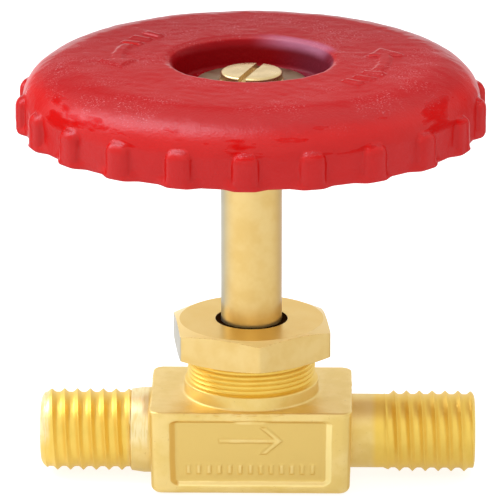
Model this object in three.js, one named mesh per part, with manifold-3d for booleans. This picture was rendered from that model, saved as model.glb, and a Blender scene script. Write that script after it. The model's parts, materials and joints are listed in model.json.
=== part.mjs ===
// A small brass needle valve with a red handwheel, in millimetres, +Z up.
// The origin is on the spindle's axis, on the underside of the body. The inlet is at -X and the
// outlet at +X. The valve is drawn shut, with its needle on the seat.
import * as THREE from 'three';
import { mergeVertices } from 'three/addons/utils/BufferGeometryUtils.js';
import Module from 'manifold-3d';

const wasm = await Module();
wasm.setup();

// ---- Driving dimensions ----

// Body block and its two pipe ends
const pipeAxisHeight = 6.85;
const block = { length: 31.9, depth: 23, height: 13.7, cornerRadius: 1.8, edge: 0.7 };
const panel = { width: 26.3, height: 11.3, cornerRadius: 2.0, recess: 0.8 };
const inlet = { tip: 33.8, collarRadius: 6.85, collarEnd: 19.2, crest: 6.58, tipRadius: 4.6, chamfer: 2.4 };
const outlet = { tip: 35.85, collarRadius: 5.93, collarEnd: 20.7, crest: 6.5, tipRadius: 5.1, chamfer: 1.1 };
const pipeThread = { depth: 0.68, pitch: 2.07 };
const portRadius = 3.3;
const portEnd = 9.5;
const portMouth = 0.3;
const drillPointRatio = 0.6;

// Raised marks on the panels: a flow arrow of thin strokes over a row of bars
const markRise = 0.35;
const flowArrow = { tail: -5, tip: 5, head: 2.6, halfHead: 2.2, stroke: 0.7, centre: 2.0 };
const markBars = { count: 13, spacing: 1.65, width: 0.65, height: 1.5, centre: -2.8 };

// Neck that carries the gland nut
const collar = { radius: 10.75, footRadius: 11.15, foot: 0.5, top: 16.0, edge: 0.25 };
const neckThread = { crest: 10.2, depth: 0.4, pitch: 0.75, chamfer: 0.8 };
const neckTop = 22.8;

// Cavity along the spindle's axis
const stuffingBox = { radius: 7.4, floor: 17.0 };
const spindleThread = { crest: 6.0, depth: 0.55, pitch: 1.0, length: 3.1 };
const threadBore = { radius: 6.15, floor: 9.9, cone: 0.8 };
const chamberRadius = 4.6;
const seat = { radius: 1.5, height: 7.2 };
const inletDrilling = { radius: 1.45, height: 5.0 };
const outletDrilling = { radius: 1.3, height: 8.6 };

// Gland nut, follower and packing
const nut = { cornerRadius: 13.85, bottom: 20.6, top: 25.85, web: 1.5, hole: 5.9, bore: 10.35, turn: 6.3 };
const nutFlat = { radius: 11.5, topDrop: 0.65, bottomRise: 0.9, holeEdge: 0.25 };
const follower = { flangeRadius: 9.4, flange: 0.65, spigotRadius: 7.2, bore: 5.05, height: 2.35 };
const packing = { inner: 4.95, outer: 7.3, height: 1.4, spacing: 1.43, count: 3 };
const packingWasher = { inner: 5.05, outer: 7.25, height: 0.58 };

// Spindle and needle, both in the shut position
const spindle = { radius: 4.85, bottom: 10.3, shoulder: 59.3, square: 7.0, top: 63.6, edge: 0.4 };
const socket = { radius: 3.05, lipRadius: 2.5, lip: 0.7, depth: 3.5 };
const needle = { radius: 2.3, tipRadius: 0.6, tip: 5.15, coneTop: 9.4, edge: 0.3 };
const needleHead = { radius: 2.85, height: 2.2 };

// Handwheel and what holds it on
const wheel = { radius: 36.0, bottom: 58.05, wallTop: 62.5, shoulderWidth: 9.0, top: 68.85, edge: 0.5 };
const well = { radius: 12.4, floor: 64.1, lip: 1.5, fillet: 0.9, wall: 2.6 };
const hub = { radius: 9.0, squareHole: 7.3, draft: 0.8, floorThickness: 3 };
const lobe = { count: 22, first: -90.6, radius: 37.2, width: 3.6, height: 5.9, ramp: 1.6, edge: 0.4 };
const rimThickness = 3.0;
const webThickness = 3.2;
const rib = { count: 4, width: 3.0, depth: 4.5 };
const turnMark = { radius: 21, half: 0.7, head: 7, halfHead: 2.2 };
const wheelWasher = { radius: 8.75, hole: 3.3, height: 1.1 };
const screw = { headRadius: 4.88, head: 1.62, edge: 0.4, turn: -17 };
const screwFlange = { radius: 5.15, height: 0.45 };
const screwSlot = { width: 1.65, depth: 1.1 };
const screwThread = { crest: 3.0, depth: 0.5, pitch: 1.0, length: 7.8 };

// Angular steps of round surfaces
const fine = 44;
const medium = 28;
const coarse = 20;

// How far joined solids run into each other, and how far parts that touch are kept apart
const overlap = 0.5;
const gap = 0.02;

const degrees = Math.PI / 180;

// ---- Materials ----

function finish(color, roughness, metalness) {
  return new THREE.MeshStandardMaterial({ color, roughness, metalness });
}

const forgedBrass = finish(0xd9bf6b, 0.42, 0.9);
const turnedBrass = finish(0xe0bd62, 0.3, 0.95);
const whitePacking = finish(0xe9e6dc, 0.7, 0.0);
const stainless = finish(0xb9bbbd, 0.28, 1.0);
const redEnamel = finish(0xb92a2a, 0.38, 0.05);
const platedSteel = finish(0x8d8a84, 0.4, 1.0);

// ---- Closed geometry and solids ----

function signedVolume(positions, index) {
  const a = new THREE.Vector3();
  const b = new THREE.Vector3();
  const c = new THREE.Vector3();
  let volume = 0;
  for (let i = 0; i < index.length; i += 3) {
    a.fromArray(positions, index[i] * 3);
    b.fromArray(positions, index[i + 1] * 3);
    c.fromArray(positions, index[i + 2] * 3);
    volume += a.dot(b.cross(c)) / 6;
  }
  return volume;
}

// Shares the vertices, drops triangles that collapsed on an axis, and turns the faces outwards.
function closed(source) {
  const bare = source.clone();
  bare.deleteAttribute('normal');
  bare.deleteAttribute('uv');
  const merged = mergeVertices(bare, 1e-4);
  const positions = merged.attributes.position.array;
  const old = merged.index.array;
  const index = [];
  for (let i = 0; i < old.length; i += 3) {
    const [a, b, c] = [old[i], old[i + 1], old[i + 2]];
    if (a !== b && b !== c && c !== a) index.push(a, b, c);
  }
  if (signedVolume(positions, index) < 0) index.reverse();
  merged.setIndex(index);
  return merged;
}

function solid(source) {
  const geometry = closed(source);
  return new wasm.Manifold(new wasm.Mesh({
    numProp: 3,
    vertProperties: new Float32Array(geometry.attributes.position.array),
    triVerts: new Uint32Array(geometry.index.array),
  }));
}

function geometryOf(body) {
  const mesh = body.getMesh();
  const geometry = new THREE.BufferGeometry();
  geometry.setAttribute('position', new THREE.BufferAttribute(new Float32Array(mesh.vertProperties), 3));
  geometry.setIndex(new THREE.BufferAttribute(new Uint32Array(mesh.triVerts), 1));
  geometry.computeVertexNormals();
  return geometry;
}

const joined = (bodies) => bodies.reduce((sum, body) => sum.add(body));
const cut = (body, tools) => tools.reduce((rest, tool) => rest.subtract(tool), body);

// A body of revolution about Z from [radius, height] points that start and end on the axis or close.
function turned(points, segments = medium) {
  const profile = points.map(([r, z]) => new THREE.Vector2(r, z));
  return new THREE.LatheGeometry(profile, segments).rotateX(Math.PI / 2);
}

const ring = (inner, outer, height, segments = medium) => turned(
  [[inner, 0], [outer, 0], [outer, height], [inner, height], [inner, 0]], segments);

// A plain round bar along Z, from bottom to top.
const bar = (radius, bottom, top, segments = medium) => turned(
  [[0, bottom], [radius, bottom], [radius, top], [0, top]], segments);

function box(width, depth, height, x, y, z) {
  return new THREE.BoxGeometry(width, depth, height).translate(x, y, z);
}

function roundedRectangle(width, height, radius) {
  const shape = new THREE.Shape();
  const x = width / 2 - radius;
  const y = height / 2 - radius;
  shape.absarc(x, y, radius, 0, Math.PI / 2);
  shape.absarc(-x, y, radius, Math.PI / 2, Math.PI);
  shape.absarc(-x, -y, radius, Math.PI, Math.PI * 1.5);
  shape.absarc(x, -y, radius, Math.PI * 1.5, Math.PI * 2);
  shape.closePath();
  return shape;
}

// A right-hand threaded bar along Z, from 0 to length, with a rounded nose if it has a chamfer.
// Every angular column holds the crests and roots of the helix that cross it, and neighbouring
// columns are laced together.
function threadedBar({ crest, depth, pitch, length, segments = medium, tipRadius = crest, chamfer = 0 }) {
  const radiusAt = (z, threadRadius) => {
    if (chamfer === 0) return threadRadius;
    const along = Math.max(0, 1 - (length - z) / chamfer);
    return Math.min(threadRadius, tipRadius + (crest - tipRadius) * Math.sqrt(1 - along * along));
  };
  const clear = pitch * 0.12;
  const columns = [];
  for (let k = 0; k < segments; k += 1) {
    const shift = pitch * k / segments;
    const column = [[0, crest - depth]];
    for (let half = -2; half * pitch / 2 < length + pitch; half += 1) {
      const z = shift + half * pitch / 2;
      const isCrest = half % 2 === 0;
      if (z > clear && z < length - clear) {
        column.push([z, radiusAt(z, isCrest ? crest : crest - depth)]);
      }
    }
    column.push([length, radiusAt(length, crest - depth)]);
    columns.push(column);
  }
  const positions = [];
  const first = [];
  columns.forEach((column, k) => {
    first.push(positions.length / 3);
    const angle = k / segments * Math.PI * 2;
    column.forEach(([z, r]) => positions.push(r * Math.cos(angle), r * Math.sin(angle), z));
  });
  const bottomCentre = positions.length / 3;
  positions.push(0, 0, 0);
  const topCentre = bottomCentre + 1;
  positions.push(0, 0, length);
  const index = [];
  columns.forEach((left, k) => {
    const next = (k + 1) % segments;
    const right = columns[next];
    let i = 0;
    let j = 0;
    while (i < left.length - 1 || j < right.length - 1) {
      const a = first[k] + i;
      const b = first[next] + j;
      const leftHeight = i < left.length - 1 ? left[i + 1][0] : Infinity;
      const rightHeight = j < right.length - 1 ? right[j + 1][0] : Infinity;
      if (leftHeight <= rightHeight) {
        index.push(a, b, a + 1);
        i += 1;
      } else {
        index.push(a, b, b + 1);
        j += 1;
      }
    }
    index.push(bottomCentre, first[next], first[k]);
    index.push(topCentre, first[k] + left.length - 1, first[next] + right.length - 1);
  });
  const geometry = new THREE.BufferGeometry();
  geometry.setAttribute('position', new THREE.Float32BufferAttribute(positions, 3));
  geometry.setIndex(index);
  return geometry;
}

// ---- Body ----

// Turns a shape drawn along +Z so that it runs along the pipe, outwards on the given side.
const alongPipe = (geometry, side) => geometry.rotateY(side * Math.PI / 2).translate(0, 0, pipeAxisHeight);

function bodyBlock() {
  const flat = { width: block.length - 2 * block.edge, depth: block.depth - 2 * block.edge };
  const shape = roundedRectangle(flat.width, flat.depth, block.cornerRadius - block.edge);
  return new THREE.ExtrudeGeometry(shape, {
    depth: block.height - 2 * block.edge,
    bevelThickness: block.edge,
    bevelSize: block.edge,
    bevelSegments: 2,
    curveSegments: 4,
  }).translate(0, 0, block.edge);
}

function pipeEnd(end, side) {
  const start = block.length / 2 - 1;
  const shank = bar(end.collarRadius, start, end.collarEnd);
  const thread = threadedBar({
    ...pipeThread,
    segments: 24,
    crest: end.crest,
    tipRadius: end.tipRadius,
    chamfer: end.chamfer,
    length: end.tip - end.collarEnd + overlap,
  }).translate(0, 0, end.collarEnd - overlap);
  return joined([shank, thread].map((geometry) => solid(alongPipe(geometry, side))));
}

function panelRecess() {
  const slope = panel.recess;
  const width = panel.width - 2 * slope;
  const height = panel.height - 2 * slope;
  const floor = roundedRectangle(width, height, panel.cornerRadius - slope);
  return new THREE.ExtrudeGeometry(floor, {
    depth: 1,
    bevelThickness: slope,
    bevelSize: slope,
    bevelSegments: 1,
    curveSegments: 4,
  }).translate(0, 0, slope);
}

// The raised marks, drawn in the panel's own plane and starting below its floor.
function panelMarks() {
  const { tail, tip, head, halfHead, stroke, centre } = flowArrow;
  const height = markRise + overlap;
  const chevron = new THREE.Shape();
  chevron.moveTo(tip, centre);
  chevron.lineTo(tip - head, centre + halfHead);
  chevron.lineTo(tip - head - stroke, centre + halfHead - stroke / 2);
  chevron.lineTo(tip - 1.5 * stroke, centre);
  chevron.lineTo(tip - head - stroke, centre - halfHead + stroke / 2);
  chevron.lineTo(tip - head, centre - halfHead);
  chevron.closePath();
  const shaftEnd = tip - stroke;
  const shapes = [
    new THREE.ExtrudeGeometry(chevron, { depth: height, bevelEnabled: false }),
    box(shaftEnd - tail, stroke, height, (tail + shaftEnd) / 2, centre, height / 2),
  ];
  for (let i = 0; i < markBars.count; i += 1) {
    const x = (i - (markBars.count - 1) / 2) * markBars.spacing;
    shapes.push(box(markBars.width, markBars.height, height, x, markBars.centre, height / 2));
  }
  return shapes.map((shape) => shape.translate(0, 0, -overlap));
}

// Places a shape drawn in the panel's plane on the front (side -1) or the back (side +1).
function onPanel(geometry, side, depth) {
  const turn = side < 0 ? 0 : Math.PI;
  return geometry
    .rotateX(Math.PI / 2)
    .rotateZ(turn)
    .translate(0, side * (block.depth / 2 - depth), block.height / 2);
}

// The arrow points to the outlet on both sides, so the back copy is drawn mirrored.
const towardsOutlet = (geometry, side) => geometry.scale(-side, 1, 1);

function spindleCavity() {
  return turned([
    [0, inletDrilling.height],
    [seat.radius, inletDrilling.height],
    [seat.radius, seat.height],
    [chamberRadius, seat.height],
    [chamberRadius, threadBore.floor - threadBore.cone],
    [threadBore.radius, threadBore.floor],
    [threadBore.radius, stuffingBox.floor],
    [stuffingBox.radius, stuffingBox.floor],
    [stuffingBox.radius, neckTop + 1],
    [0, neckTop + 1],
  ]);
}

function port(end) {
  const drillPoint = portRadius * drillPointRatio;
  return turned([
    [0, portEnd - drillPoint],
    [portRadius, portEnd],
    [portRadius, end.tip - portMouth],
    [portRadius + portMouth, end.tip],
    [portRadius + portMouth, end.tip + 1],
    [0, end.tip + 1],
  ]);
}

function drilling({ radius, height }, from, to) {
  return bar(radius, from, to, coarse).rotateY(Math.PI / 2).translate(0, 0, height);
}

// The round collar on top of the block, and the thread above it.
function bodyNeck() {
  const shoulder = turned([
    [0, block.height - 1],
    [collar.footRadius, block.height - 1],
    [collar.footRadius, block.height + 0.1],
    [collar.radius, block.height + collar.foot],
    [collar.radius, collar.top - collar.edge],
    [collar.radius - collar.edge, collar.top],
    [0, collar.top],
  ]);
  const thread = threadedBar({
    ...neckThread,
    tipRadius: neckThread.crest - neckThread.depth,
    length: neckTop - collar.top + overlap,
  }).translate(0, 0, collar.top - overlap);
  return joined([solid(shoulder), solid(thread)]);
}

function valveBody() {
  const outside = joined([solid(bodyBlock()), bodyNeck(), pipeEnd(inlet, -1), pipeEnd(outlet, 1)]);
  const sides = [-1, 1];
  const recesses = sides.map((side) => solid(onPanel(panelRecess(), side, panel.recess)));
  const marks = sides.flatMap((side) => panelMarks().map(
    (mark) => solid(onPanel(towardsOutlet(mark, side), side, panel.recess))));
  const passages = [
    solid(spindleCavity()),
    solid(alongPipe(port(inlet), -1)),
    solid(alongPipe(port(outlet), 1)),
    solid(drilling(inletDrilling, -portEnd, seat.radius)),
    solid(drilling(outletDrilling, chamberRadius - 1, portEnd)),
  ];
  return geometryOf(cut(joined([cut(outside, recesses), ...marks]), passages));
}

// ---- Gland ----

function glandNut() {
  const height = nut.top - nut.bottom;
  const hexagon = new THREE.CylinderGeometry(nut.cornerRadius, nut.cornerRadius, height, 6)
    .rotateX(Math.PI / 2)
    .translate(0, 0, height / 2);
  const chamfers = turned([
    [0, 0],
    [nutFlat.radius, 0],
    [nut.cornerRadius + 0.3, nutFlat.bottomRise],
    [nut.cornerRadius + 0.3, height - nutFlat.topDrop],
    [nutFlat.radius, height],
    [0, height],
  ], fine);
  const bore = bar(nut.bore, -1, height - nut.web);
  const holeTop = nut.hole + nutFlat.holeEdge;
  const hole = turned([
    [0, height - nut.web - 1],
    [nut.hole, height - nut.web - 1],
    [nut.hole, height - nutFlat.holeEdge],
    [holeTop, height],
    [holeTop, height + 1],
    [0, height + 1],
  ]);
  return geometryOf(cut(solid(hexagon).intersect(solid(chamfers)), [solid(bore), solid(hole)]));
}

function glandFollower() {
  const spigot = follower.height - follower.flange;
  return turned([
    [follower.bore, 0],
    [follower.spigotRadius, 0],
    [follower.spigotRadius, spigot],
    [follower.flangeRadius, spigot],
    [follower.flangeRadius, follower.height],
    [follower.bore, follower.height],
    [follower.bore, 0],
  ]);
}

// ---- Spindle and needle ----

function spindleSolid() {
  const threadStart = 0.3;
  const threadEnd = threadStart + spindleThread.length;
  const shoulder = spindle.shoulder - spindle.bottom;
  const top = spindle.top - spindle.bottom;
  const root = spindleThread.crest - spindleThread.depth;
  const nose = turned([
    [0, 0],
    [root - threadStart, 0],
    [root, threadStart],
    [root, threadStart + overlap],
    [0, threadStart + overlap],
  ]);
  const thread = threadedBar(spindleThread).translate(0, 0, threadStart);
  const shank = turned([
    [0, threadEnd - overlap],
    [spindle.radius, threadEnd - overlap],
    [spindle.radius, shoulder - spindle.edge],
    [spindle.radius - spindle.edge, shoulder],
    [0, shoulder],
  ]);
  const squareHeight = top - shoulder + overlap;
  const square = box(spindle.square, spindle.square, squareHeight, 0, 0, top - squareHeight / 2);
  const roundedSquare = solid(square).intersect(solid(bar(spindle.radius - spindle.edge, 0, top)));
  const socketTool = turned([
    [0, -1],
    [socket.lipRadius, -1],
    [socket.lipRadius, socket.lip],
    [socket.radius, socket.lip],
    [socket.radius, socket.depth],
    [0, socket.depth],
  ], coarse);
  const tappedHole = turned([
    [0, top - screwThread.length - 1.6],
    [screwThread.crest + 0.1, top - screwThread.length - 0.6],
    [screwThread.crest + 0.1, top + 1],
    [0, top + 1],
  ], coarse);
  const outside = joined([solid(nose), solid(thread), solid(shank), roundedSquare]);
  return geometryOf(cut(outside, [solid(socketTool), solid(tappedHole)]));
}

function needleTurned() {
  const headBottom = spindle.bottom + socket.lip + needle.edge - needle.tip;
  const headTop = headBottom + needleHead.height;
  return turned([
    [0, 0],
    [needle.tipRadius, 0],
    [needle.radius, needle.coneTop - needle.tip],
    [needle.radius, headBottom],
    [needleHead.radius, headBottom],
    [needleHead.radius, headTop - needle.edge],
    [needleHead.radius - needle.edge, headTop],
    [0, headTop],
  ], coarse);
}

// ---- Handwheel ----

// A quarter of an ellipse in [radius, height] points, from its outermost point up to its top.
function quarter(centreRadius, centreHeight, width, height, steps) {
  return Array.from({ length: steps + 1 }, (unused, i) => {
    const angle = i / steps * Math.PI / 2;
    return [centreRadius + width * Math.cos(angle), centreHeight + height * Math.sin(angle)];
  });
}

// The wheel's section, with heights measured from its own underside.
function wheelSection() {
  const down = -wheel.bottom;
  const shoulderCentre = wheel.radius - wheel.shoulderWidth;
  const shoulderHeight = wheel.top - wheel.wallTop;
  const wallTop = wheel.wallTop + down;
  const top = wheel.top + down;
  const floor = well.floor + down;
  const hubBottom = spindle.shoulder + down;
  const webBottom = floor - hub.floorThickness;
  const wellOuter = well.radius + well.wall;
  const draft = 0.4;
  const inside = quarter(shoulderCentre, wallTop, wheel.shoulderWidth - rimThickness,
    shoulderHeight - webThickness, 3).reverse();
  return [
    [0, hubBottom],
    [hub.radius - hub.draft, hubBottom],
    [hub.radius, webBottom],
    [well.radius, webBottom],
    [wellOuter, webBottom + 2 * well.fillet],
    [wellOuter + draft, top - webThickness],
    ...inside,
    [wheel.radius - rimThickness + draft, 0],
    [wheel.radius - wheel.edge, 0],
    [wheel.radius, wheel.edge],
    ...quarter(shoulderCentre, wallTop, wheel.shoulderWidth, shoulderHeight, 6),
    [well.radius + well.lip, top],
    [well.radius + well.lip * 0.35, top - well.lip * 0.3],
    [well.radius, top - well.lip],
    [well.radius - well.fillet / 3, floor + well.fillet * 2 / 3],
    [well.radius - well.fillet, floor],
    [0, floor],
  ];
}

// One grip lobe: a radial outline, drawn across its width, with a ramp that runs into the shoulder.
function lobeBlock() {
  const root = wheel.radius - rimThickness / 2;
  const bottom = 0.05;
  const outline = new THREE.Shape();
  outline.moveTo(root, bottom);
  outline.lineTo(lobe.radius - lobe.edge, bottom);
  outline.lineTo(lobe.radius, bottom + lobe.edge);
  outline.lineTo(lobe.radius, lobe.height - lobe.ramp);
  outline.lineTo(lobe.radius - lobe.ramp, lobe.height);
  outline.lineTo(root, lobe.height);
  outline.closePath();
  return new THREE.ExtrudeGeometry(outline, { depth: lobe.width, bevelEnabled: false })
    .translate(0, 0, -lobe.width / 2)
    .rotateX(Math.PI / 2);
}

// A raised curved arrow on the wheel's top face, from one bearing to another.
function turnArrow(from, to) {
  const { radius, half, head, halfHead } = turnMark;
  const at = (r, bearing) => [r * Math.cos(bearing * degrees), r * Math.sin(bearing * degrees)];
  const neck = to - Math.sign(to - from) * head;
  const outline = new THREE.Shape();
  outline.absarc(0, 0, radius + half, from * degrees, neck * degrees, to < from);
  outline.lineTo(...at(radius + halfHead, neck));
  outline.lineTo(...at(radius, to));
  outline.lineTo(...at(radius - halfHead, neck));
  outline.absarc(0, 0, radius - half, neck * degrees, from * degrees, to > from);
  outline.closePath();
  const settings = { depth: markRise + overlap, bevelEnabled: false, curveSegments: 6 };
  return new THREE.ExtrudeGeometry(outline, settings).translate(0, 0, wheel.top - wheel.bottom - overlap);
}

// Straight ribs under the web, trimmed to stay inside the casting's outer skin.
function ribs() {
  const skin = 1;
  const inner = well.radius + skin;
  const length = wheel.radius - skin - inner;
  const bottom = wheel.top - wheel.bottom - webThickness - rib.depth;
  const wallTop = wheel.wallTop - wheel.bottom;
  const height = wheel.top - wheel.wallTop - skin;
  const envelope = solid(turned([
    [0, 0],
    [wheel.radius - skin, 0],
    ...quarter(wheel.radius - wheel.shoulderWidth, wallTop, wheel.shoulderWidth - skin, height, 4),
    [0, wallTop + height],
  ], fine));
  return Array.from({ length: rib.count }, (unused, i) => {
    const strip = box(length, rib.width, 20, inner + length / 2, 0, bottom + 10);
    return solid(strip.rotateZ((45 + i * 360 / rib.count) * degrees)).intersect(envelope);
  });
}

function handwheelSolid() {
  const parts = [solid(turned(wheelSection(), fine))];
  for (let i = 0; i < lobe.count; i += 1) {
    const angle = (lobe.first + i * 360 / lobe.count) * degrees;
    parts.push(solid(lobeBlock().rotateZ(angle)));
  }
  parts.push(...ribs());
  parts.push(solid(turnArrow(205, 155)), solid(turnArrow(25, -25)));
  const hole = solid(box(hub.squareHole, hub.squareHole, 30, 0, 0, 0));
  return geometryOf(joined(parts).subtract(hole));
}

// ---- Screw ----

// The screw, with heights measured from the underside of its head.
function wheelScrew() {
  const root = screwThread.crest - screwThread.depth;
  const head = turned([
    [0, -0.2],
    [root, -0.2],
    [root, 0],
    [screwFlange.radius, 0],
    [screwFlange.radius, screwFlange.height - 0.1],
    [screw.headRadius, screwFlange.height],
    [screw.headRadius, screw.head - screw.edge],
    [screw.headRadius - screw.edge, screw.head],
    [0, screw.head],
  ]);
  const thread = threadedBar({ ...screwThread, segments: 14 }).rotateX(Math.PI);
  const slotHeight = 4;
  const slotBottom = screw.head - screwSlot.depth;
  const slot = box(screwSlot.width, 12, slotHeight, 0, 0, slotBottom + slotHeight / 2);
  return geometryOf(cut(joined([solid(head), solid(thread)]), [solid(slot)]));
}

// ---- Assembly ----

function piece(name, geometry, material) {
  const mesh = new THREE.Mesh(geometry, material);
  mesh.name = name;
  return mesh;
}

function raised(mesh, height) {
  mesh.position.z = height;
  return mesh;
}

const fixed = new THREE.Group();
fixed.add(piece('body', valveBody(), forgedBrass));
const backing = closed(ring(packingWasher.inner, packingWasher.outer, packingWasher.height));
fixed.add(raised(piece('packing_washer', backing, turnedBrass), stuffingBox.floor + gap / 2));
const packingStart = stuffingBox.floor + packingWasher.height + gap;
for (let i = 0; i < packing.count; i += 1) {
  const shape = closed(ring(packing.inner, packing.outer, packing.height));
  const packingRing = piece(`packing_ring_${i + 1}`, shape, whitePacking);
  fixed.add(raised(packingRing, packingStart + i * packing.spacing));
}

const gland = new THREE.Group();
gland.position.z = nut.bottom;
const followerHeight = nut.top - nut.bottom - nut.web - gap - follower.height;
gland.add(raised(piece('gland_follower', closed(glandFollower()), turnedBrass), followerHeight));
const nutMesh = piece('gland_nut', glandNut(), turnedBrass);
nutMesh.rotation.z = nut.turn * degrees;
gland.add(nutMesh);

const needleMesh = raised(piece('needle', closed(needleTurned()), stainless), needle.tip);

const turning = new THREE.Group();
turning.add(raised(piece('spindle', spindleSolid(), turnedBrass), spindle.bottom));
turning.add(raised(piece('handwheel', handwheelSolid(), redEnamel), wheel.bottom));
const washerShape = closed(ring(wheelWasher.hole, wheelWasher.radius, wheelWasher.height));
turning.add(raised(piece('wheel_washer', washerShape, platedSteel), well.floor + gap));
const screwSeat = well.floor + wheelWasher.height + 2 * gap;
const screwMesh = raised(piece('wheel_screw', wheelScrew(), turnedBrass), screwSeat);
screwMesh.rotation.z = screw.turn * degrees;
turning.add(screwMesh);

const valve = new THREE.Group();
valve.add(fixed, gland, needleMesh, turning);

export default valve;
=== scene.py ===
import json
import math

import bmesh
import bpy
import numpy as np
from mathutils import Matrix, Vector, noise

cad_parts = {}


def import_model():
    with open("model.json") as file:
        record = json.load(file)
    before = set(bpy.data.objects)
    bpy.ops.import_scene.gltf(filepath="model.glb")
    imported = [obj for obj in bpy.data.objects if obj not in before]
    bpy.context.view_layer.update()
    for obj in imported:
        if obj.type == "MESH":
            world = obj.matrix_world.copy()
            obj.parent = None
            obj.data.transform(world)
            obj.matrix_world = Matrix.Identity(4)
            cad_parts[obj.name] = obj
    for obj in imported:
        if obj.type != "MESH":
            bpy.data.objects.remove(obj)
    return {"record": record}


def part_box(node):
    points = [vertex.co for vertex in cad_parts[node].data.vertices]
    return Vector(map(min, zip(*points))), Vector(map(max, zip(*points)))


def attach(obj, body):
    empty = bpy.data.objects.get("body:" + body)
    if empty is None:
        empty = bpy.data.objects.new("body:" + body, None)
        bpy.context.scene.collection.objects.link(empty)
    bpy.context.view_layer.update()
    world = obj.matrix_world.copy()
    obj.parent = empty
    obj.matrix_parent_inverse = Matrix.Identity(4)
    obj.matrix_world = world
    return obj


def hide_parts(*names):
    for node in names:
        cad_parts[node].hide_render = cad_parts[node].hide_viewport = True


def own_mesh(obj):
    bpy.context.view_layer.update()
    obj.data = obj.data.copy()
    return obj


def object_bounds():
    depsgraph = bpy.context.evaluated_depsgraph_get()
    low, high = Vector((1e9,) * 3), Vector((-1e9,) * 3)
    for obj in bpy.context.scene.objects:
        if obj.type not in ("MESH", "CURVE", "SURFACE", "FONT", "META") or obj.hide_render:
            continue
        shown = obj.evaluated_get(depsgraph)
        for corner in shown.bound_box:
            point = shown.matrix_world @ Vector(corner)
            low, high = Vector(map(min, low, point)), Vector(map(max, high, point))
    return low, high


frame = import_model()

cad_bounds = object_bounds()

# Shapes are drawn in millimetres and stored in metres.
MM = 0.001
TAU = 2 * math.pi


def box_mm(node):
    low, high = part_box(node)
    return np.array(low) / MM, np.array(high) / MM


# ---- Sizes ----

body_low, body_high = box_mm("body")
nut_low, nut_high = box_mm("gland_nut")
wheel_low, wheel_high = box_mm("handwheel")
spindle_low, spindle_high = box_mm("spindle")
screw_low, screw_high = box_mm("wheel_screw")
washer_low, washer_high = box_mm("wheel_washer")

port_low, port_high = np.array(frame["record"]["physics"]["openings"][0]["box_m"]) / MM
PIPE_AXIS = (port_low[2] + port_high[2]) / 2

BLOCK_HEIGHT = 2 * PIPE_AXIS
BLOCK_HALF = np.array([15.95, body_high[1]])
BLOCK_CORNER = 1.8
BLOCK_TAPER = 0.3
TOP_EDGE = 0.4
BOTTOM_EDGE = 1.0
PANEL_HALF = (13.15, 5.65)
PANEL_WALLS = {"side": 1.65, "top": 0.75, "bottom": 1.15}
PANEL_DEPTH = 0.8
MARK_RISE = 0.3
FLOW_ARROW = {"tip": 5.0, "height": 2.0, "half_shaft": 0.35, "half_head": 2.2}
MARK_BARS = {"count": 13, "spacing": 1.65, "height": -2.8, "half_width": 0.3, "half_height": 0.75}

PIPE_PITCH = 2.07
THREAD_DEPTH = 0.58
PORT_RADIUS = 3.3
PORT_END = 9.5
INLET = {
    "tip": -body_low[0], "collar": 6.85, "slope": 17.2, "collar_tip": 6.57, "collar_end": 19.2,
    "crest": 6.58, "thread_start": 17.56, "run_in": 0.0, "nose": 2.4, "tip_radius": 4.5,
}
OUTLET = {
    "tip": body_high[0], "collar": 5.93, "slope": 20.5, "collar_tip": 5.9, "collar_end": 20.7,
    "crest": 6.5, "thread_start": 19.8, "run_in": 1.4, "nose": 1.1, "tip_radius": 5.0,
}

STUFFING_BOX = 7.4
THREAD_BORE = 6.15
CHAMBER = 4.6
SEAT_HEIGHT = 7.2
INLET_DRILLING = {"radius": 1.45, "height": 5.0, "start": -1.5, "side": -1}
OUTLET_DRILLING = {"radius": 1.3, "height": 8.6, "start": 3.6, "side": 1}

NECK_COLLAR = 10.75
NECK_FOOT = 0.4
NECK_COLLAR_TOP = 16.0
NECK_CREST = 10.2
NECK_PITCH = 0.75
NECK_THREAD_DEPTH = 0.2
NECK_TOP = body_high[2]

# The nut's corners, and the round land that its chamfers leave on its top
NUT_CORNER = 13.85
NUT_FLAT = 11.5
NUT_TURN = math.radians(6.3)
NUT_HOLE = 5.75
NUT_LIP = 4.92
NUT_BORE = 10.35
NUT_WEB = 1.5

SPINDLE_RADIUS = 4.85
SPINDLE_THREAD = {"crest": 6.0, "depth": 0.55, "length": 3.1}
SQUARE_HALF = 3.5
SOCKET = {"radius": 3.05, "mouth": 2.5, "lip": 0.7, "depth": 3.5}
NEEDLE = {"tip": 0.6, "shank": 2.3, "cone_top": 9.4, "head": 2.85, "head_height": 2.2}
FINE_PITCH = 1.0

FOLLOWER = {"flange": 9.4, "spigot": 7.2, "bore": 5.05, "flange_height": 0.65}
PACKING_RING = (4.95, 7.3)
BACKING_WASHER = (5.05, 7.25)
WHEEL_WASHER = (3.3, 8.75)

# Where the square starts, on which the wheel sits
SHOULDER = 59.3
WHEEL_WALL = 36.0
WHEEL_INNER_WALL = 33.0
WHEEL_THICK = 10.8
WELL_RADIUS = 12.2
HUB_RADIUS = 9.0
LOBES = 22
LOBE_RADIUS = 37.2
LOBE_FIRST = math.radians(-90.6)
LOBE = {"half_width": 2.2, "shoulder": 4.0, "cap": 1.9}
TURN_ARROW = {
    "radius": 21.0, "tail": -3.5, "shaft_end": 6.5, "tip": 10.4, "half_shaft": 1.1, "slope": 0.72,
}
TURN_ARROW_MIDDLES = (math.radians(168), math.radians(-12))

SCREW_HEAD = {"radius": 4.88, "flange": 5.15}
SCREW_THREAD = {"crest": 3.0, "depth": 0.5}
SLOT = {"half_width": 0.6, "depth": 1.0, "turn": math.radians(-17)}


# ---- Mesh tools ----

def smooth(low, high, value):
    t = np.clip((value - low) / (high - low), 0, 1)
    return t * t * (3 - 2 * t)


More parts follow.
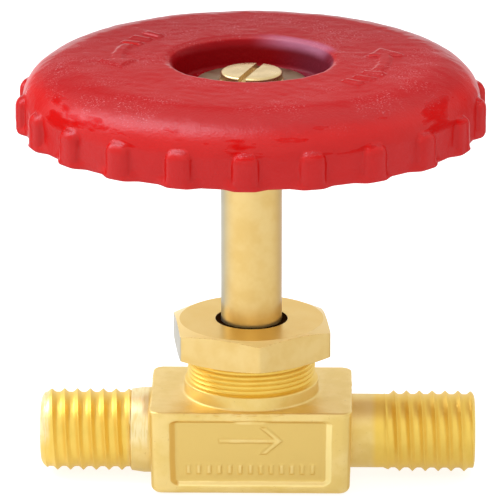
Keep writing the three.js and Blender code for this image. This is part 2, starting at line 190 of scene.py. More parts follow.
def lumps(points, size, seed=0.0):
    """Smooth noise from -1 to 1 at each point, with lumps of about the given size in mm."""
    shift = Vector((seed, -seed * 1.7, seed * 0.6))
    values = [noise.noise(Vector(p) / size + shift) for p in points.reshape(-1, 3).tolist()]
    return np.array(values).reshape(points.shape[:-1])


def piece_from(name, points, faces):
    """A mesh object from points in mm, with coincident points merged and its faces turned outwards."""
    mesh = bpy.data.meshes.new(name)
    mesh.from_pydata((np.asarray(points) * MM).tolist(), [], faces)
    build = bmesh.new()
    build.from_mesh(mesh)
    bmesh.ops.remove_doubles(build, verts=build.verts, dist=1e-7)
    bmesh.ops.dissolve_degenerate(build, edges=build.edges, dist=1e-7)
    bmesh.ops.recalc_face_normals(build, faces=build.faces)
    build.to_mesh(mesh)
    build.free()
    piece = bpy.data.objects.new(name, mesh)
    bpy.context.scene.collection.objects.link(piece)
    return piece


def skin(name, rings, ends):
    """A closed skin over rings of points. Its ends are "loop" (for a ring-shaped piece) or "cap"."""
    rings = np.asarray(rings, float)
    count, around = rings.shape[:2]
    index = np.arange(count * around).reshape(count, around)
    after = np.roll(index, -1, axis=1)
    faces = np.stack([index[:-1], after[:-1], after[1:], index[1:]], -1).reshape(-1, 4).tolist()
    points = rings.reshape(-1, 3)
    if ends == "loop":
        faces += np.stack([index[-1], after[-1], after[0], index[0]], -1).tolist()
    else:
        centres = np.array([rings[0].mean(0), rings[-1].mean(0)])
        for centre, row in ((0, 0), (1, -1)):
            hub = count * around + centre
            faces += [[int(a), int(b), hub] for a, b in zip(index[row], after[row])]
        points = np.vstack([points, centres])
    return piece_from(name, points, faces)


def turned(name, profile, ends="cap", around=96):
    """A piece turned about Z from a profile of (radius, height) points."""
    angle = np.arange(around) / around * TAU
    profile = np.asarray(profile, float)
    r, z = profile[:, :1], profile[:, 1:]
    rings = np.stack([r * np.cos(angle), r * np.sin(angle), z + 0 * angle], -1)
    return skin(name, rings, ends)


def arc(centre, radii, start, end, steps):
    """Points of an elliptical arc in the (radius, height) plane, angles in degrees."""
    angle = np.radians(np.linspace(start, end, steps + 1))
    return [(centre[0] + radii[0] * math.cos(a), centre[1] + radii[1] * math.sin(a)) for a in angle]


def line(start, end, spacing):
    """Evenly spaced points from start to end, without the first."""
    start, end = np.array(start, float), np.array(end, float)
    steps = max(1, int(round(np.linalg.norm(end - start) / spacing)))
    return [tuple(start + (end - start) * i / steps) for i in range(1, steps + 1)]


def bushing(name, inner, outer, bottom, top, edge=0.12, around=96):
    """A plain ring with softly rounded edges."""
    profile = (
        arc((outer - edge, bottom + edge), (edge, edge), -90, 0, 3)
        + arc((outer - edge, top - edge), (edge, edge), 0, 90, 3)
        + arc((inner + edge, top - edge), (edge, edge), 90, 180, 3)
        + arc((inner + edge, bottom + edge), (edge, edge), 180, 270, 3)
    )
    return turned(name, profile, "loop", around)


def threaded_bar(name, low, high, pitch, crest, depth, limit, around=120, per_turn=14):
    """A right-hand threaded bar along Z. limit(z) is the largest radius allowed at each height."""
    # shares of half a pitch
    crest_flat, flank = 0.04, 0.68
    rows = int(math.ceil((high - low) / pitch) + 2) * per_turn
    row = np.arange(-per_turn, rows)[:, None]
    column = np.arange(around)[None, :]
    z = low + pitch * (row / per_turn + column / around)
    z = np.clip(z, low, high)
    angle = column / around * TAU
    turn = (z - low) / pitch - angle / TAU
    from_crest = np.abs(turn - np.round(turn)) * 2
    slope = np.clip((from_crest - crest_flat) / flank, 0, 1)
    r = crest - depth + depth * (1 - slope) ** 1.4
    r = np.minimum(r, limit(z))
    points = np.stack([r * np.cos(angle), r * np.sin(angle), z], -1)
    count = points.shape[0]
    index = np.arange(count * around).reshape(count, around)
    right = np.roll(index, -1, axis=1)
    last = np.minimum(np.arange(count) + per_turn, count - 1)
    right[:, -1] = index[last, 0]
    faces = np.stack([index[:-1], right[:-1], right[1:], index[1:]], -1).reshape(-1, 4).tolist()
    base = count * around
    faces += [[int(a), int(b), base] for a, b in zip(index[0], np.roll(index[0], -1))]
    faces += [[int(a), int(b), base + 1] for a, b in zip(index[-1], np.roll(index[-1], -1))]
    points = np.vstack([points.reshape(-1, 3), [[0, 0, low], [0, 0, high]]])
    return piece_from(name, points, faces)


def block_piece(name, low, high, edge=0.0):
    """A box between two corners, with bevelled edges."""
    build = bmesh.new()
    bmesh.ops.create_cube(build, size=1.0)
    centre, size = (np.array(low) + high) / 2, np.array(high) - low
    for vertex in build.verts:
        vertex.co = Vector((np.array(vertex.co) * size + centre) * MM)
    if edge:
        bmesh.ops.bevel(build, geom=build.edges[:], offset=edge * MM, segments=3, affect="EDGES", profile=0.5)
    mesh = bpy.data.meshes.new(name)
    build.to_mesh(mesh)
    build.free()
    piece = bpy.data.objects.new(name, mesh)
    bpy.context.scene.collection.objects.link(piece)
    return piece


def combine(piece, tools, operation):
    """Joins the tools to the piece or cuts them from it, and removes them."""
    for tool in tools:
        modifier = piece.modifiers.new("combine", "BOOLEAN")
        modifier.operation = operation
        modifier.solver = "MANIFOLD"
        modifier.object = tool
    graph = bpy.context.evaluated_depsgraph_get()
    result = bpy.data.meshes.new_from_object(piece.evaluated_get(graph))
    piece.modifiers.clear()
    piece.data = result
    for tool in tools:
        bpy.data.objects.remove(tool)
    return piece


def along_pipe(piece, side):
    """Lays a piece drawn along Z on the pipe's axis, pointing outwards on the given side."""
    turn = np.array([[0, 0, side], [0, 1, 0], [-side, 0, 0]], float)
    points = np.array([v.co for v in piece.data.vertices]) @ turn.T
    points[:, 2] += PIPE_AXIS * MM
    piece.data.vertices.foreach_set("co", points.ravel())
    piece.data.update()
    return piece


def turn_about_spindle(piece, angle):
    for vertex in piece.data.vertices:
        x, y = vertex.co.x, vertex.co.y
        vertex.co.x = x * math.cos(angle) - y * math.sin(angle)
        vertex.co.y = x * math.sin(angle) + y * math.cos(angle)


def finish_piece(piece, body, nodes, material, crease=35):
    """Gives a piece its material and body, and hides the CAD parts it stands for. Edges sharper than crease
    degrees stay sharp.
    """
    for polygon in piece.data.polygons:
        polygon.use_smooth = True
    piece.data.set_sharp_from_angle(angle=math.radians(crease))
    piece.data.materials.clear()
    piece.data.materials.append(material)
    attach(piece, body)
    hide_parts(*nodes)
    return piece


# ---- Material tools ----

class Shader:
    """A node tree under construction."""

    def __init__(self, name):
        self.material = bpy.data.materials.new(name)
        self.material.use_nodes = True
        self.tree = self.material.node_tree
        self.surface = self.tree.nodes["Principled BSDF"]

    def node(self, kind, settings=None, **inputs):
        made = self.tree.nodes.new("ShaderNode" + kind)
        for key, value in (settings or {}).items():
            setattr(made, key, value)
        for key, value in inputs.items():
            self.feed(made.inputs[key.replace("_", " ")], value)
        return made

    def feed(self, socket, value):
        if isinstance(value, bpy.types.NodeSocket):
            self.tree.links.new(value, socket)
        else:
            socket.default_value = value

    def place(self):
        """Position on the piece, in mm."""
        coordinates = self.node("TexCoord").outputs["Object"]
        return self.node("VectorMath", {"operation": "SCALE"}, Vector=coordinates, Scale=1000.0).outputs[0]

    def scale(self, where, factors):
        made = self.node("VectorMath", {"operation": "MULTIPLY"}, Vector=where)
        made.inputs[1].default_value = factors
        return made.outputs[0]

    def parts(self, vector):
        """The X, Y and Z of a vector."""
        return self.node("SeparateXYZ", Vector=vector).outputs

    def radius(self, where):
        """Distance from the spindle's axis."""
        level = self.scale(where, (1.0, 1.0, 0.0))
        return self.node("VectorMath", {"operation": "LENGTH"}, Vector=level).outputs["Value"]

    def facing(self):
        """The surface's normal, as X, Y and Z."""
        return self.parts(self.node("NewGeometry").outputs["Normal"])

    def slant(self):
        """0 where the surface is seen square on, 1 where it is seen edge on."""
        return self.node("LayerWeight").outputs["Facing"]

    def noise(self, where, size, detail=4.0, roughness=0.55):
        made = self.node("TexNoise", Vector=where, Scale=1.0 / size, Detail=detail, Roughness=roughness)
        return made.outputs["Fac"]

    def ramp(self, value, low, high, out_low=0.0, out_high=1.0):
        made = self.node("MapRange", {"interpolation_type": "SMOOTHSTEP"})
        for key, number in (("From Min", low), ("From Max", high), ("To Min", out_low), ("To Max", out_high)):
            made.inputs[key].default_value = number
        self.feed(made.inputs["Value"], value)
        return made.outputs["Result"]

    def math(self, operation, a, b=0.0):
        made = self.node("Math", {"operation": operation})
        self.feed(made.inputs[0], a)
        self.feed(made.inputs[1], b)
        return made.outputs[0]

    def overlap(self, *masks):
        """Where all the masks apply, from 0 to 1."""
        total = masks[0]
        for mask in masks[1:]:
            total = self.math("MULTIPLY", total, mask)
        return total

    def outside(self, mask):
        return self.math("SUBTRACT", 1.0, mask)

    def mix(self, factor, a, b):
        made = self.node("Mix", {"data_type": "RGBA"})
        for socket, value in zip([made.inputs[i] for i in (0, 6, 7)], (factor, a, b)):
            self.feed(socket, value)
        return made.outputs[2]

    def bump(self, height, distance, strength=1.0, normal=None):
        made = self.node("Bump", Height=height, Distance=distance * MM, Strength=strength)
        if normal is not None:
            self.feed(made.inputs["Normal"], normal)
        return made.outputs["Normal"]

    def set(self, **inputs):
        for key, value in inputs.items():
            self.feed(self.surface.inputs[key.replace("_", " ")], value)


def rgb(red, green, blue):
    """A colour from screen values 0 to 255."""
    def linear(v):
        v /= 255
        return v / 12.92 if v <= 0.04045 else ((v + 0.055) / 1.055) ** 2.4
    return (linear(red), linear(green), linear(blue), 1.0)


def sunken_panel(shader, axis):
    """The floors of the panels on the block's front and back."""
    across = shader.math("ABSOLUTE", axis["Y"])
    face = BLOCK_HALF[1]
    return shader.overlap(
        shader.ramp(across, face - 0.5, face - 0.68),
        shader.ramp(across, face - 1.2, face - 0.9),
        shader.ramp(axis["Z"], BLOCK_HEIGHT - 0.5, BLOCK_HEIGHT - 0.9),
        shader.ramp(axis["Z"], 0.6, 1.0),
    )


def panel_wall_shade_and_highlight(shader, axis):
    """The sloping walls round the panels, for painted light: the left one, painted darker as shade, then the
    lower and right ones, painted paler as highlight.
    """
    across = shader.math("ABSOLUTE", axis["Y"])
    face, side, middle = BLOCK_HALF[1], PANEL_HALF[0], BLOCK_HEIGHT / 2
    wall = shader.overlap(
        shader.ramp(across, face - 0.04, face - 0.12),
        shader.ramp(across, face - 0.7, face - 0.6),
        shader.ramp(shader.math("ABSOLUTE", axis["X"]), side + 0.45, side + 0.15),
        shader.ramp(axis["Z"], middle + 5.95, middle + 5.55),
        shader.ramp(axis["Z"], middle - 5.95, middle - 5.65),
    )
    left = shader.ramp(axis["X"], 1.95 - side, 1.45 - side)
    right = shader.ramp(axis["X"], side - 1.95, side - 1.45)
    lower = shader.ramp(axis["Z"], middle - 4.05, middle - 4.55)
    bright = shader.math("MAXIMUM", lower, right)
    return shader.overlap(wall, left), shader.overlap(wall, bright, shader.outside(left))


def inlet_scrapes_and_highlight(shader, where, axis):
    """The inlet's shank and rounded end: bright scrape streaks, with a painted highlight that grows towards
    the top of the pipe.
    """
    face, shank_end, tip = BLOCK_HALF[0], INLET["collar_end"], INLET["tip"]
    shank = shader.overlap(
        shader.ramp(axis["X"], -face - 0.25, -face - 0.65),
        shader.ramp(axis["X"], -shank_end - 0.3, -shank_end + 0.1),
    )
    end = shader.ramp(axis["X"], -tip + 1.9, -tip + 1.0)
    streaks = shader.noise(shader.scale(where, (1.0, 0.12, 0.12)), 0.25, 3.0)
    return shader.overlap(
        shader.math("MAXIMUM", shank, end),
        shader.ramp(streaks, 0.3, 0.6, 0.35, 1.0),
        shader.ramp(axis["Z"], PIPE_AXIS - 1.5, PIPE_AXIS + 1.5, 0.1, 0.8),
    )


def forged_brass():
    shader = Shader("forged_brass")
    where = shader.place()
    axis = shader.parts(where)
    blotch = shader.ramp(shader.noise(where, 4.0, 3.0), 0.35, 0.68)
    pits = shader.ramp(shader.noise(where, 0.45, 2.0), 0.66, 0.76)
    cast = shader.mix(blotch, rgb(240, 212, 136), rgb(233, 202, 118))
    cast = shader.mix(shader.math("MULTIPLY", pits, 0.3), cast, rgb(190, 152, 80))
    cast = shader.mix(sunken_panel(shader, axis), cast, rgb(227, 195, 112))
    painted_shade_wall, painted_highlight_wall = panel_wall_shade_and_highlight(shader, axis)
    # Painted shade on the left panel wall, and a painted highlight on the lower and right walls.
    cast = shader.mix(painted_shade_wall, cast, rgb(222, 178, 88))
    cast = shader.mix(painted_highlight_wall, cast, rgb(255, 234, 158))
    # The two ends and the neck are cut, and show a brighter gold in the threads.
    far = shader.ramp(shader.math("ABSOLUTE", axis["X"]), 19.0, 20.2)
    up = shader.ramp(axis["Z"], NECK_COLLAR_TOP - 0.3, NECK_COLLAR_TOP + 0.1)
    cut = shader.math("MAXIMUM", far, up)
    gold = shader.mix(shader.noise(where, 2.0), rgb(245, 210, 103), rgb(237, 199, 88))
    # The inlet's pale scrape streaks carry a painted highlight, stronger on the pipe's upper side.
    scrapes_and_highlight = inlet_scrapes_and_highlight(shader, where, axis)
    shader.set(
        Base_Color=shader.mix(scrapes_and_highlight, shader.mix(cut, cast, gold), rgb(252, 236, 184)),
        Metallic=0.85,
        Roughness=shader.ramp(scrapes_and_highlight, 0, 1, 0.43, 0.3),
        Normal=shader.bump(shader.noise(where, 0.3, 3.0, 0.6), 0.03, 0.5),
    )
    return shader.material


def darkened_lip(shader, where, axis):
    """The nut's lip round the spindle, painted near black."""
    radius = shader.radius(where)
    top = nut_high[2]
    return shader.overlap(
        shader.ramp(radius, NUT_LIP - 0.05, NUT_LIP - 0.02),
        shader.ramp(radius, NUT_HOLE + 0.25, NUT_HOLE + 0.15),
        shader.ramp(axis["Z"], nut_low[2] - 0.6, nut_low[2] + 0.4),
        shader.ramp(axis["Z"], top, top - 0.1),
    )


def turned_brass():
    shader = Shader("turned_brass")
    where = shader.place()
    facing = shader.facing()
    level = shader.math("ABSOLUTE", facing["Z"])
    cloud = shader.noise(where, 4.0, 3.0)
    colour = shader.mix(shader.ramp(cloud, 0.35, 0.65), rgb(232, 201, 130), rgb(227, 192, 116))
    # Upright faces are painted darker where they are seen at a slant, greyer on their left: painted shade and
    # painted reflection along their edges.
    edge = shader.mix(shader.ramp(facing["X"], -0.4, 0.4), rgb(172, 166, 142), rgb(186, 150, 82))
    painted_edge_shade = shader.overlap(shader.ramp(shader.slant(), 0.15, 0.75), shader.ramp(level, 0.4, 0.1))
    colour = shader.mix(painted_edge_shade, colour, edge)
    # Flat tops and undersides are painted a deeper gold, as a painted reflection.
    colour = shader.mix(shader.ramp(level, 0.996, 0.999), colour, rgb(234, 196, 100))
    # Chamfers are painted pale and made less metallic, as a painted highlight.
    chamfer = shader.overlap(shader.ramp(level, 0.996, 0.988), shader.ramp(level, 0.75, 0.85))
    colour = shader.mix(chamfer, colour, rgb(255, 226, 142))
    dark_lip_mask = darkened_lip(shader, where, shader.parts(where))
    rings = shader.noise(shader.scale(where, (0.15, 0.15, 1.0)), 0.09, 2.0)
    # The lip round the spindle is painted near black and matt.
    shader.set(
        Base_Color=shader.mix(dark_lip_mask, colour, rgb(40, 22, 6)),
        Metallic=shader.overlap(shader.ramp(chamfer, 0, 1, 0.85, 0.15), shader.outside(dark_lip_mask)),
        Roughness=shader.math("MAXIMUM", shader.ramp(cloud, 0.3, 0.7, 0.28, 0.36), dark_lip_mask),
        Specular_IOR_Level=shader.ramp(dark_lip_mask, 0, 1, 0.5, 0.0),
        Normal=shader.bump(rings, 0.008, 0.35),
    )
    return shader.material


def enamel_runs(shader, axis, low, high):
    """Runs of thick enamel along the shoulder, the most of it at the front."""
    bearing = shader.math("MULTIPLY", shader.math("ARCTAN2", axis["Y"], axis["X"]), 9.0)
    round_wheel = shader.node("CombineXYZ", X=bearing, Y=axis["Z"], Z=0.0).outputs[0]
    thick = shader.noise(round_wheel, 2.2, 3.0)
    for middle, reach, more in ((-22.5, 2.6, 0.13), (-4.9, 2.6, 0.13), (-12.5, 6.5, 0.04)):
        offset = shader.math("ABSOLUTE", shader.math("SUBTRACT", bearing, middle))
        thick = shader.math("ADD", thick, shader.ramp(offset, reach, reach / 6, 0.0, more))
    return shader.overlap(
        shader.ramp(thick, 0.57, 0.71),
        shader.ramp(axis["Z"], low + 4.6, low + 5.6),
        shader.ramp(axis["Z"], high - 1.6, high - 2.8),
    )


def painted_lip_highlight(shader, axis, radius, high):
    """The back of the well's lip, painted with a cool highlight."""
    return shader.overlap(
        shader.ramp(radius, WELL_RADIUS + 2.6, WELL_RADIUS + 1.2),
        shader.ramp(axis["Z"], high - 2.6, high - 1.2),
        shader.ramp(axis["X"], -1.0, 6.0),
        shader.ramp(axis["Y"], 3.0, 7.0, 0.0, 0.6),
    )


def worn_specks(shader, where, up):
    """Pale specks of worn skin, gathered in loose drifts on the top."""
    return shader.overlap(
        shader.ramp(shader.noise(where, 0.26, 2.0), 0.56, 0.72),
        shader.ramp(shader.noise(where, 6.5, 3.0), 0.4, 0.66),
        shader.ramp(up, 0.55, 0.9, 0.0, 0.42),
    )


def overspray(shader, where, radius):
    """Grey casting under thin red overspray, thicker towards the rim."""
    drift = shader.math("MULTIPLY", shader.ramp(shader.noise(where, 9.0, 5.0), 0.3, 0.75), 0.6)
    drift = shader.math("ADD", drift, shader.ramp(radius, WHEEL_WALL - 9, WHEEL_WALL - 2, 0.0, 0.5))
    return shader.mix(drift, rgb(218, 215, 208), rgb(206, 142, 130))


def red_enamel():
    shader = Shader("red_enamel")
    where = shader.place()
    axis, radius, up = shader.parts(where), shader.radius(where), shader.facing()["Z"]
    low, high = wheel_low[2], wheel_high[2]
    runs = enamel_runs(shader, axis, low, high)
    in_well = shader.overlap(
        shader.ramp(radius, WELL_RADIUS + 1.0, WELL_RADIUS + 0.5),
        shader.ramp(axis["Z"], low + 5, low + 6),
    )
    under = shader.overlap(
        shader.ramp(radius, WHEEL_INNER_WALL + 1.2, WHEEL_INNER_WALL + 0.4),
        shader.ramp(up, 0.3, -0.1),
        shader.outside(in_well),
        shader.ramp(axis["Z"], high - 1.5, high - 2.5),
    )
    colour = shader.mix(shader.noise(where, 5.0, 3.0), rgb(197, 26, 23), rgb(184, 14, 12))
    colour = shader.mix(runs, colour, rgb(190, 4, 2))
    # The flat top is painted darker as painted shade, most at the back.
    painted_top_shade = shader.mix(shader.ramp(axis["Y"], -22.0, 26.0), rgb(166, 21, 22), rgb(143, 21, 24))
    colour = shader.mix(shader.ramp(up, 0.62, 0.97), colour, painted_top_shade)
    # The well's walls are painted darker as painted shade, turning violet towards +X as a painted reflection.
    painted_well_shade = shader.mix(shader.ramp(axis["X"], 2.0, 10.0), rgb(138, 9, 15), rgb(112, 34, 46))
    colour = shader.mix(in_well, colour, painted_well_shade)
    # A cool painted highlight on the back of the well's lip.
    colour = shader.mix(painted_lip_highlight(shader, axis, radius, high), colour, rgb(172, 106, 130))
    colour = shader.mix(worn_specks(shader, where, up), colour, rgb(226, 168, 172))
    colour = shader.mix(under, colour, overspray(shader, where, radius))
    # The skin returns little light at a slant, except along its very rim.
    slant = shader.slant()
    gloss = shader.math(
        "MAXIMUM",
        shader.ramp(slant, 0.3, 0.62, 0.28, 0.015),
        shader.ramp(slant, 0.76, 0.95, 0.0, 0.4),
    )
    quiet = shader.ramp(shader.math("MAXIMUM", in_well, runs), 0, 1, 1.0, 0.2)
    hammered = shader.noise(where, 1.1, 2.0, 0.5)
    normal = shader.bump(hammered, 0.1, shader.ramp(up, 0.5, 0.95, 0.5, 0.18))
    grain = shader.noise(where, 0.42, 2.0, 0.6)
    shader.set(
        Base_Color=colour,
        Roughness=shader.ramp(runs, 0, 1, 0.31, 0.14),
        Specular_IOR_Level=shader.math("MULTIPLY", gloss, quiet),
        Normal=shader.bump(grain, 0.06, shader.ramp(runs, 0, 1, 0.7, 0.15), normal),
    )
    return shader.material


def plain_metal(name, colour, roughness):
    shader = Shader(name)
    where = shader.place()
    cloud = shader.noise(where, 2.5, 4.0)
    shade = tuple(c * 0.82 for c in colour[:3]) + (1.0,)
    shader.set(
        Base_Color=shader.mix(shader.ramp(cloud, 0.35, 0.7), colour, shade),
        Metallic=1.0,
        Roughness=shader.ramp(cloud, 0.3, 0.7, roughness * 0.85, roughness * 1.2),
        Normal=shader.bump(shader.noise(where, 0.12, 2.0), 0.01, 0.4),
    )
    return shader.material


def white_packing():
    shader = Shader("packing")
    where = shader.place()
    cloud = shader.noise(where, 1.0, 4.0)
    shader.set(
        Base_Color=shader.mix(cloud, rgb(236, 234, 226), rgb(218, 215, 204)),
        Roughness=0.6,
        Normal=shader.bump(cloud, 0.02, 0.4),
    )
    return shader.material


# ---- Body ----

def rounded_outline(half, corner, long_steps, short_steps, corner_steps):
    """Points and outward normals round a rounded rectangle, starting at its right front corner."""
    inner = np.asarray(half, float) - corner
    points, normals = [], []
    corners = [(1, -1), (1, 1), (-1, 1), (-1, -1)]
    for k, place in enumerate(corners):
        centre = inner * place
        following = inner * corners[(k + 1) % 4]
        for i in range(corner_steps):
            angle = -math.pi / 2 + (k + i / corner_steps) * math.pi / 2
            normal = np.array([math.cos(angle), math.sin(angle)])
            points.append(centre + corner * normal)
            normals.append(normal)
        angle = -math.pi / 2 + (k + 1) * math.pi / 2
        normal = np.array([math.cos(angle), math.sin(angle)])
        steps = short_steps if k % 2 == 0 else long_steps
        for i in range(steps):
            points.append(centre + (following - centre) * i / steps + corner * normal)
            normals.append(normal)
    return np.array(points), np.array(normals)


def panel_height(x, z):
    """How far the face stands in, at a place on the front or the back of the block."""
    from_side = (PANEL_HALF[0] - np.abs(x)) / PANEL_WALLS["side"]
    from_top = (PANEL_HALF[1] - z) / PANEL_WALLS["top"]
    from_bottom = (PANEL_HALF[1] + z) / PANEL_WALLS["bottom"]
    short = [np.maximum(1 - distance, 0) for distance in (from_side, from_top, from_bottom)]
    corner = 1 - sum(s ** 1.7 for s in short) ** (1 / 1.7)
    floor = smooth(0.0, 1.0, corner)
    return floor * (MARK_RISE * panel_marks(x, z) - PANEL_DEPTH)


def stroke(distance, half, soft=0.4):
    return smooth(half + soft / 2, half - soft / 2, distance)


def panel_marks(x, z):
    """A thin flow arrow over a row of bars, from 0 to 1 with soft edges."""
    up = z - FLOW_ARROW["height"]
    shaft = np.minimum(stroke(np.abs(up), FLOW_ARROW["half_shaft"]), stroke(np.abs(x + 0.3), 4.7))
    slant = (x - FLOW_ARROW["tip"]) + np.abs(up) * 1.15
    head = np.minimum(stroke(np.abs(slant + 0.45), 0.5), stroke(np.abs(up), FLOW_ARROW["half_head"]))
    spacing = MARK_BARS["spacing"]
    along = np.abs(np.mod(x + spacing / 2, spacing) - spacing / 2)
    from_row = np.abs(z - MARK_BARS["height"])
    bars = np.minimum(stroke(along, MARK_BARS["half_width"]), stroke(from_row, MARK_BARS["half_height"]))
    bars = bars * (np.abs(x) < MARK_BARS["count"] / 2 * spacing)
    return np.maximum(np.maximum(shaft, head), bars)


def block_rings():
    """(share of the outline, inset, height) from the middle of the underside to the middle of the top."""
    shares = (0.15, 0.35, 0.55, 0.75, 0.9)
    rings = [(share, BOTTOM_EDGE, 0.0) for share in shares]
    for angle in np.radians(np.linspace(0, 90, 9)):
        rings.append((1.0, BOTTOM_EDGE * (1 - math.sin(angle)), BOTTOM_EDGE * (1 - math.cos(angle))))
    for height in np.linspace(BOTTOM_EDGE, BLOCK_HEIGHT - TOP_EDGE, 84)[1:-1]:
        rings.append((1.0, 0.0, height))
    for angle in np.radians(np.linspace(90, 0, 8)):
        height = BLOCK_HEIGHT - TOP_EDGE * (1 - math.cos(angle))
        rings.append((1.0, TOP_EDGE * (1 - math.sin(angle)), height))
    rings += [(share, TOP_EDGE, BLOCK_HEIGHT) for share in reversed(shares)]
    return rings


def forged_block():
    outline, normals = rounded_outline(BLOCK_HALF, BLOCK_CORNER, 170, 44, 10)
    rings = block_rings()
    points = np.array([
        np.column_stack([(outline - normals * inset) * share, np.full(len(outline), height)])
        for share, inset, height in rings
    ])
    on_side = np.array([share == 1.0 for share, inset, height in rings])[:, None]
    x, y, z = points[..., 0].copy(), points[..., 1].copy(), points[..., 2].copy()
    sunk = panel_height(x, z - BLOCK_HEIGHT / 2)
    points[..., 1] += np.sign(y) * np.abs(normals[None, :, 1]) * on_side * sunk
    # the forging's draft, narrower towards the underside
    draft = BLOCK_TAPER * (z / BLOCK_HEIGHT - 0.5)
    points[..., 0] += np.sign(x) * draft * np.abs(x) / BLOCK_HALF[0]
    # a torn line of trimmed flash just under the top edge, deepest on the front
    along = np.column_stack([x.ravel(), y.ravel(), 0 * x.ravel()]).reshape(points.shape)
    torn = smooth(-0.1, 0.6, lumps(along, 2.6, 7.0) + 0.5 * lumps(along, 0.8, 2.0))
    edge_line = BLOCK_HEIGHT - TOP_EDGE - 0.1 + 0.22 * lumps(along, 1.1, 4.0)
    groove = np.exp(-((z - edge_line) / 0.13) ** 2)
    crest = np.exp(-((z - edge_line - 0.3) / 0.14) ** 2)
    flash = (0.12 * crest - 0.22 * groove) * torn * on_side
    rough = 0.045 * lumps(points, 3.5) + 0.018 * lumps(points, 0.9, 3.0)
    points[..., :2] += normals[None] * ((rough + flash) * on_side)[..., None]
    points[..., 2] += rough * (z > BLOCK_HEIGHT / 2) * ~on_side
    return skin("forged_body", points, "cap")


def pipe_end(end, side):
    """The shank against the block and a threaded end, joined."""
    face = BLOCK_HALF[0]
    radius, slope_start, shank_end, tip = end["collar"], end["slope"], end["collar_end"], end["tip"]
    root = end["crest"] - THREAD_DEPTH
    profile = [(radius - 0.6, face - 3), (radius, face - 3)]
    profile += line((radius, face - 3), (radius, slope_start), 0.4)
    profile += line((radius, slope_start), (end["collar_tip"], shank_end), 0.3)
    profile += [(root - 0.1, shank_end + 0.3)]
    shank = turned("shank", profile, around=144)
    nose, tip_radius = end["nose"], end["tip_radius"]

    def limit(z):
        run_in = end["run_in"]
        rise = root + THREAD_DEPTH * np.clip((z - shank_end - run_in * 0.35) / max(run_in, 0.1), 0, 1)
        along = np.clip(1 - (tip - z) / nose, 0, 1)
        fall = tip_radius + (end["crest"] - tip_radius) * np.sqrt(1 - along ** 2)
        return np.minimum(rise, fall)

    thread = threaded_bar("thread", end["thread_start"], tip, PIPE_PITCH, end["crest"], THREAD_DEPTH, limit)
    return along_pipe(combine(shank, [thread], "UNION"), side)


def neck():
    """The collar on the block and the gland nut's thread above it, joined."""
    radius, edge = NECK_COLLAR, 0.3
    foot = BLOCK_HEIGHT + NECK_FOOT
    collar = turned("neck", (
        [(radius + NECK_FOOT, BLOCK_HEIGHT - 2), (radius + NECK_FOOT, BLOCK_HEIGHT - 0.03)]
        + arc((radius + NECK_FOOT, foot), (NECK_FOOT, NECK_FOOT), 262, 180, 6)
        + line((radius, foot), (radius, NECK_COLLAR_TOP - edge), 0.4)
        + arc((radius - edge, NECK_COLLAR_TOP - edge), (edge, edge), 10, 80, 5)
        + [(NECK_CREST, NECK_COLLAR_TOP + 0.12), (NECK_CREST - 0.25, NECK_COLLAR_TOP + 0.3)]
    ), around=200)

    def limit(z):
        return NECK_CREST - np.maximum(z - (NECK_TOP - 0.8), 0) * 0.6

    start = NECK_COLLAR_TOP - 1
    thread = threaded_bar(
        "neck_thread", start, NECK_TOP, NECK_PITCH, NECK_CREST, NECK_THREAD_DEPTH, limit, 180, 10)
    return combine(collar, [thread], "UNION")


def passages():
    """Tools for the spindle's cavity, the two ports and the drillings between them."""
    seat, box_floor, mouth = 1.5, 17.0, STUFFING_BOX + 0.5
    tools = [turned("cavity", [
        (seat, INLET_DRILLING["height"]), (seat, SEAT_HEIGHT - 0.2), (seat + 0.2, SEAT_HEIGHT),
        (CHAMBER, SEAT_HEIGHT), (CHAMBER, 9.1), (THREAD_BORE, 9.9), (THREAD_BORE, box_floor),
        (STUFFING_BOX, box_floor), (STUFFING_BOX, NECK_TOP - 0.3),
        (mouth, NECK_TOP + 0.2), (mouth, NECK_TOP + 2),
    ])]
    for end, side in ((INLET, -1), (OUTLET, 1)):
        tip = end["tip"]
        port = turned("port", [
            (0.05, PORT_END - 1.9), (PORT_RADIUS, PORT_END), (PORT_RADIUS, tip - 0.3),
            (PORT_RADIUS + 0.4, tip + 0.1), (PORT_RADIUS + 0.4, tip + 2),
        ])
        tools.append(along_pipe(port, side))
    for hole in (INLET_DRILLING, OUTLET_DRILLING):
        profile = [(hole["radius"], hole["start"]), (hole["radius"], PORT_END)]
        drilling = along_pipe(turned("drilling", profile, around=48), hole["side"])
        for vertex in drilling.data.vertices:
            vertex.co.z += (hole["height"] - PIPE_AXIS) * MM
        tools.append(drilling)
    return tools


def valve_body():
    body = combine(forged_block(), [neck(), pipe_end(INLET, -1), pipe_end(OUTLET, 1)], "UNION")
    return combine(body, passages(), "DIFFERENCE")


# ---- Gland ----

